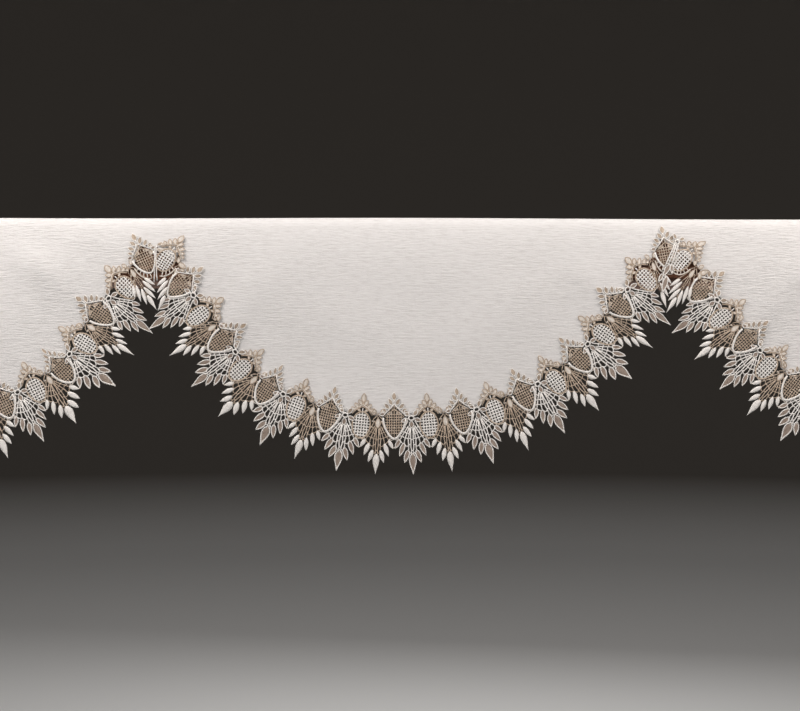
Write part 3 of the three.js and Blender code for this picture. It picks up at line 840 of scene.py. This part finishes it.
def thin_fan(pen, sides=(-1, 1), folded=False, hidden_leaves=None):
    """Fan C: thin tan strands that end in solid white leaves, longer ones where it is folded in."""
    fan_strands(pen, "tan", 1.35, sides, folded)
    longer, level = (0.5, 1.8) if folded else (0.0, 0.0)
    long_ends = LONG_LEAF["base"], LONG_LEAF["tip"]
    pen.leaf(*long_ends, LONG_LEAF["half"], "white", height=2.0, level=level, point=2.0, steps=12)
    for side in sides:
        for leaf in FAN_LEAVES if side != hidden_leaves else ():
            base, tip = (np.array([side * end[0], end[1]]) for end in (leaf["base"], leaf["tip"]))
            base = base - longer * (tip - base)
            pen.leaf(base, tip, leaf["half"] + longer, "white", height=1.7, point=0.6, level=level)
        pen.outlined((side * 4, -15), (side * 10.5, -22.5), 3.6, "tan", "pale", point=0.2)
        pen.stroke([(side * 2.2, -12), (side * 7, -8), (side * 9, -3)], 1.2, "tan")
    pen.outlined((0, 5.4), (0, -9.5), 4.4, "tan", "pale", point=0.3, level=0.3)
    pen.stroke([(-3, -13), (0, -16), (3, -13), (0, -9.8)], 1.2, "tan", closed=True)


def eyelet(pen, half_width, level):
    ring_of_cord = ellipse(half_width, 3.3, 14) + np.array([0.0, -9.2])
    pen.stroke(ring_of_cord, 2.1, "white", height=2.0, level=level, closed=True)


def flower_fan(pen):
    """Fan D: white strands and outlined leaves under a small flower with an eyelet."""
    fan_strands(pen, "white", 1.6)
    long_ends = LONG_LEAF["base"], LONG_LEAF["tip"]
    pen.outlined(*long_ends, LONG_LEAF["half"] + 0.3, "white", "taupe", width=1.4, point=2.0, steps=12)
    for side in (-1, 1):
        for leaf in FAN_LEAVES:
            base, tip = ((side * end[0], end[1]) for end in (leaf["base"], leaf["tip"]))
            pen.outlined(base, tip, leaf["half"] + 0.2, "white", "taupe", width=1.35, point=0.7)
        pen.outlined((side * 3.4, -12.4), (side * 9.2, -21), 3.4, "white", "mocha", point=0.2, level=0.5)
        pen.outlined((side * 4.6, -8.2), (side * 14.4, -4.2), 3.1, "white", "taupe", point=0.3, level=0.8)
    pen.outlined((0, -5), (0, 5.4), 3.5, "white", "taupe", point=0.2, level=0.3)
    eyelet(pen, 3.9, level=0.6)


FOLDED_RIBS = (
    [(-2.2, -8), (-3.6, 5), (-5.6, 20), (-8.0, 38)],
    [(0.3, -6), (-0.7, 6), (-2.0, 18), (-3.2, 30)],
    [(2.8, -6), (2.6, 5), (1.9, 18), (1.2, 28)],
)
FOLDED_LEAVES = (
    {"base": (-7.4, 44), "tip": (-9.4, 58), "half": 2.8},
    {"base": (1.4, 26), "tip": (5.4, 40), "half": 2.8},
    {"base": (-1.2, 27), "tip": (-5.6, 47.5), "half": 3.7},
    {"base": (-0.2, 46), "tip": (0, 73), "half": 3.9},
)


def folded_fan(pen):
    """Fan D turned under at a peak, so that only a narrow strip and its leaves show."""
    for rib in FOLDED_RIBS:
        pen.stroke(rib, 2.0, "white", level=1.0)
    for out in range(-4, 30, 5):
        ends = [np.interp(out, [v for _, v in rib], [a for a, _ in rib]) for rib in FOLDED_RIBS]
        pen.stroke([(ends[0], out + 1.5), (ends[1], out), (ends[2], out + 1.5)], 1.7, "white", level=0.8)
    for leaf in FOLDED_LEAVES:
        form = leaf["base"], leaf["tip"], leaf["half"]
        pen.outlined(*form, "white", "taupe", width=1.5, point=0.9, level=1.2)
    pen.outlined((-2.5, -13), (-8, -20), 3.0, "white", "mocha", point=0.2, level=0.6)
    pen.outlined((3, -13), (9, -18), 3.0, "white", "mocha", point=0.2, level=0.6)
    eyelet(pen, 3.2, level=1.0)


OVAL_TIES = (
    [(15.6, -5), (19.8, -4.6)],
    [(13.6, 4), (16.0, 3)],
    [(11.2, 11), (12.2, 10.4)],
    [(8.6, 15), (10, 18.2)],
    [(5, 19.2), (7, 22.6)],
    [(0, 21.6), (4.0, 22.4), (8.2, 21.8)],
)


def under_oval(pen):
    """Bars that tie an oval to the fans on its sides, and, where it isn't moved, the leaves' ends."""
    for side in (-1, 1):
        for bar in OVAL_TIES:
            pen.stroke([(side * a, v) for a, v in bar], 1.4, "pale")
        if pen.move == (0.0, 0.0):
            pen.stroke([(0, 33.6), (side * 1.4, 33.8)], 1.4, "pale")


def ring(pen, side, dx=None, deep=26.0):
    """A second cord round the foot of the oval next to a peak, held off it by short bars."""
    c, s = math.cos(pen.tilt), math.sin(pen.tilt)
    inner, outer = (14.0, 20.6), (19.0, deep)
    path = []
    for turn in np.radians(np.arange(4, 125, 8)):
        a, v = -side * outer[0] * math.cos(turn), outer[1] * math.sin(turn)
        if dx is not None and (dx - (a * c - v * s)) * side < 0.4:
            break
        path.append((a, v))
    pen.stroke(path, 1.8, "pale", level=0.3)
    for turn in np.radians([14, 32, 50, 68, 86, 104]):
        a, v = -side * math.cos(turn), math.sin(turn)
        if dx is None or (dx - (outer[0] * a * c - outer[1] * v * s)) * side > 0.4:
            pen.stroke([(inner[0] * a, inner[1] * v), (outer[0] * a, outer[1] * v)], 1.6, "pale", level=0.2)


def seam(pen, side, foot=29):
    """The side of a trim that ends at a peak: bars between its oval and one upright cord."""
    end_x = pen.line.left if side < 0 else pen.line.left + PITCH
    dx = end_x - side * 1.0 - pen.middle[0] - pen.move[0]
    pen.stroke([pen.toward(dx, down) for down in np.linspace(-22, foot, 9)], 1.8, "white", level=0.3)
    c, s = math.cos(pen.tilt), math.sin(pen.tilt)
    for turn in np.radians([-62, -35, -8, 20, 48, 74]):
        a, v = side * 13.6 * math.cos(turn), 17.6 * math.sin(turn)
        if (dx - (a * c - v * s)) * side > 1.0:
            pen.stroke([(a, v), pen.toward(dx, a * s + v * c)], 1.3, "pale")
    ring(pen, side, dx, deep=30.0)
    for base, tip, half in (((1.5, -22.5), (9.5, -25), 2.3), ((2, -17), (7, -12.5), 2.6)):
        ends = (pen.toward(dx - side * near, down) for near, down in (base, tip))
        pen.outlined(*ends, half, "pale", "tan", width=1.1, point=0.2)


def lace_piece(line):
    pen = Pen(line)
    scallop = line.scallop
    for i in range(OVALS):
        has_left = i > 0 or scallop["start_fan"]
        pen.at(float(i))
        if i % 2 == 0:
            white_oval(pen)
        else:
            taupe_oval(pen)
        if 0 < i < OVALS - 1:
            under_oval(pen)
        elif i == 0:
            ring(pen, -1) if has_left else seam(pen, -1)
        else:
            seam(pen, 1, foot=14 if scallop["under_start_fan"] else 29)
            continue
        if i in (0, OVALS - 2):
            pen.at(i + 0.5, left=0.76, right=0.76, longer=0.08 if i == 0 and has_left else 0.0)
            sides = (-1,) if i == 0 and not has_left else (-1, 1)
            hidden = -1 if i > 0 and scallop["under_start_fan"] else None
            thin_fan(pen, sides, folded=True, hidden_leaves=hidden)
            continue
        pen.at(i + 0.5)
        if i % 2 == 0:
            thin_fan(pen)
        else:
            flower_fan(pen)
    if scallop["start_fan"]:
        pen.at(-0.5, longer=0.11)
        folded_fan(pen)
    for bud in CORNER_BUDS:
        if bud["scallop"] == scallop["name"]:
            pen.at(0.5)
            ends = (pen.toward(*bud[end]) for end in ("base", "tip"))
            pen.outlined(*ends, bud["half"], "tan", "pale", point=0.3, level=1.2)
    return pen.finish(f"leaf_lace_{scallop['name']}")


STITCH_STEP = 5.0
STITCH_LENGTH = 3.4


def hem_stitches():
    """Running stitches along the back hem and both side hems."""
    points, faces, uvs = [], [], []
    top = SHELF_TOP + REST_GAP + CLOTH_THICKNESS + HEM_EXTRA
    inner = HEM_WIDTH - 2.5
    half = SCARF_WIDTH / 2

    def stitch(start, end):
        direction = (end - start).normalized()
        aside = direction.cross(Vector((0, 0, 1))) * 0.35
        up = Vector((0, 0, 0.3))
        low = Vector((0, 0, -0.2))
        middle = (start + end) / 2 + up
        first = len(points)
        points.extend([start + low, middle - aside, end + low, middle + aside, middle + low * 2])
        for face in ((0, 1, 3), (1, 2, 3), (0, 4, 1), (1, 4, 2), (2, 4, 3), (3, 4, 0)):
            faces.append(tuple(first + k for k in face))
            uvs.extend([(0.0, 0.0), (3.0, 0.0), (3.0, 1.0)])

    for x in np.arange(-half + inner, half - inner, STITCH_STEP):
        y = BACK_HEM_Y - inner
        stitch(Vector((x, y, top)), Vector((x + STITCH_LENGTH, y, top)))
    for side in (-1, 1):
        for y in np.arange(TOP_FLAT_END_Y + 4, BACK_HEM_Y - inner - STITCH_STEP, STITCH_STEP):
            x = side * (half - inner)
            stitch(Vector((x, y, top)), Vector((x, y + STITCH_LENGTH, top)))
    return mesh_object("hem_stitches", points, faces, "stroke", uvs, [YARNS["pale"]])


# Stage

FLOOR_Z = -1.35
STAGE_FLAT_RADIUS = 6.5
STAGE_RADIUS = 10.0
STAGE_TOP = 8.0
STAGE_SIDES = 96
SWEEP_STEPS = 12
PAINT_TURNS_OVER = 0.38


def stage():
    """A pale floor that runs up into a plain darker surround, the same from every side."""
    profile = [(0.0, FLOOR_Z), (STAGE_FLAT_RADIUS, FLOOR_Z)]
    sweep = STAGE_RADIUS - STAGE_FLAT_RADIUS
    for i in range(1, SWEEP_STEPS + 1):
        turn = i / SWEEP_STEPS * math.pi / 2
        profile.append((STAGE_FLAT_RADIUS + sweep * math.sin(turn), FLOOR_Z + sweep * (1 - math.cos(turn))))
    for i in range(1, SWEEP_STEPS + 1):
        turn = i / SWEEP_STEPS * math.pi / 2
        height = FLOOR_Z + sweep
        profile.append((STAGE_RADIUS * math.cos(turn), height + (STAGE_TOP - height) * math.sin(turn)))
    points, faces = [], []
    for radius, z in profile:
        for k in range(STAGE_SIDES):
            turn = 2 * math.pi * k / STAGE_SIDES
            points.append((radius * math.cos(turn), radius * math.sin(turn), z))
    for j in range(len(profile) - 1):
        low, high = j * STAGE_SIDES, (j + 1) * STAGE_SIDES
        for k in range(STAGE_SIDES):
            k2 = (k + 1) % STAGE_SIDES
            faces.append((low + k, low + k2, high + k2, high + k))
    mesh = bpy.data.meshes.new("studio_surround")
    mesh.from_pydata(points, [], faces)
    pale, dark = (0.82, 0.81, 0.795), (0.165, 0.148, 0.13)
    mesh.materials.append(plain_material("studio_paint", pale, dark, FLOOR_Z, FLOOR_Z + PAINT_TURNS_OVER))
    mesh.polygons.foreach_set("use_smooth", np.ones(len(faces), dtype=bool))
    new_object("studio_surround", mesh)


def area_light(name, place, target, size, power, color=(1, 1, 1)):
    lamp = bpy.data.lights.new(name, "AREA")
    lamp.shape = "RECTANGLE"
    lamp.size, lamp.size_y = size
    lamp.energy = power
    lamp.color = color
    light = new_object(name, lamp)
    light.location = place
    light.rotation_euler = (Vector(target) - Vector(place)).to_track_quat("-Z", "Y").to_euler()
    light.visible_camera = False


def lights():
    warm = (1.0, 0.92, 0.868)
    area_light("key", (-1.5, -2.3, 1.5), (0, -0.2, -0.1), (1.8, 1.4), 19, (0.96, 0.98, 1.0))
    area_light("front_fill", (1.4, -3.0, 0.2), (0, -0.2, -0.1), (2.0, 2.0), 5.5, (0.93, 0.965, 1.0))
    area_light("overhead", (0, -0.6, 2.0), (0, -0.2, 0), (3.0, 1.0), 8.5, warm)
    area_light("left_box", (-1.0, -0.85, 0.75), (-0.6, -0.23, 0.0), (1.0, 0.4), 11, warm)
    area_light("right_box", (1.0, -0.85, 0.75), (0.6, -0.23, 0.0), (1.0, 0.4), 11.6, warm)
    area_light("behind", (0.5, 2.6, 1.2), (0, 0, 0), (2.4, 1.6), 40)
    area_light("ceiling", (0, 0, 6.5), (0, 0, 0), (7.0, 7.0), 145)
    world = bpy.data.worlds.new("surround_light")
    world.use_nodes = True
    background = world.node_tree.nodes["Background"]
    background.inputs["Color"].default_value = (0.8, 0.8, 0.82, 1)
    background.inputs["Strength"].default_value = 0.3
    bpy.context.scene.world = world


# Camera: level with the middle of the hanging cloth, straight on, as in the photograph
CAMERA_PLACE = (-0.0225, -2.432, -0.1535)
CAMERA_LENS = 67.2
CAMERA_ROLL = math.radians(0.11)


def camera():
    data = bpy.data.cameras.new("photo_camera")
    data.lens = CAMERA_LENS
    data.sensor_width = 36
    data.sensor_fit = "HORIZONTAL"
    view = new_object("photo_camera", data)
    view.location = CAMERA_PLACE
    view.rotation_mode = "XYZ"
    view.rotation_euler = (math.pi / 2, -CAMERA_ROLL, 0)
    bpy.context.scene.camera = view


# Assembly

camera()
stage()
lights()
bpy.context.scene.view_settings.view_transform = "Standard"

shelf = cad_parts["mantel_shelf"]
shelf = shelf if hasattr(shelf, "material_slots") else bpy.data.objects["mantel_shelf"]
beam = wood_material()
for material_slot in shelf.material_slots:
    material_slot.material = beam

cloth = cloth_piece()
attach(cloth, "root")
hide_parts("scarf_panel")

stitches = hem_stitches()
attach(stitches, "root")

for line in LINES:
    lace = lace_piece(line)
    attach(lace, "root")
    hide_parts(f"lace_trim_{line.scallop['name']}")
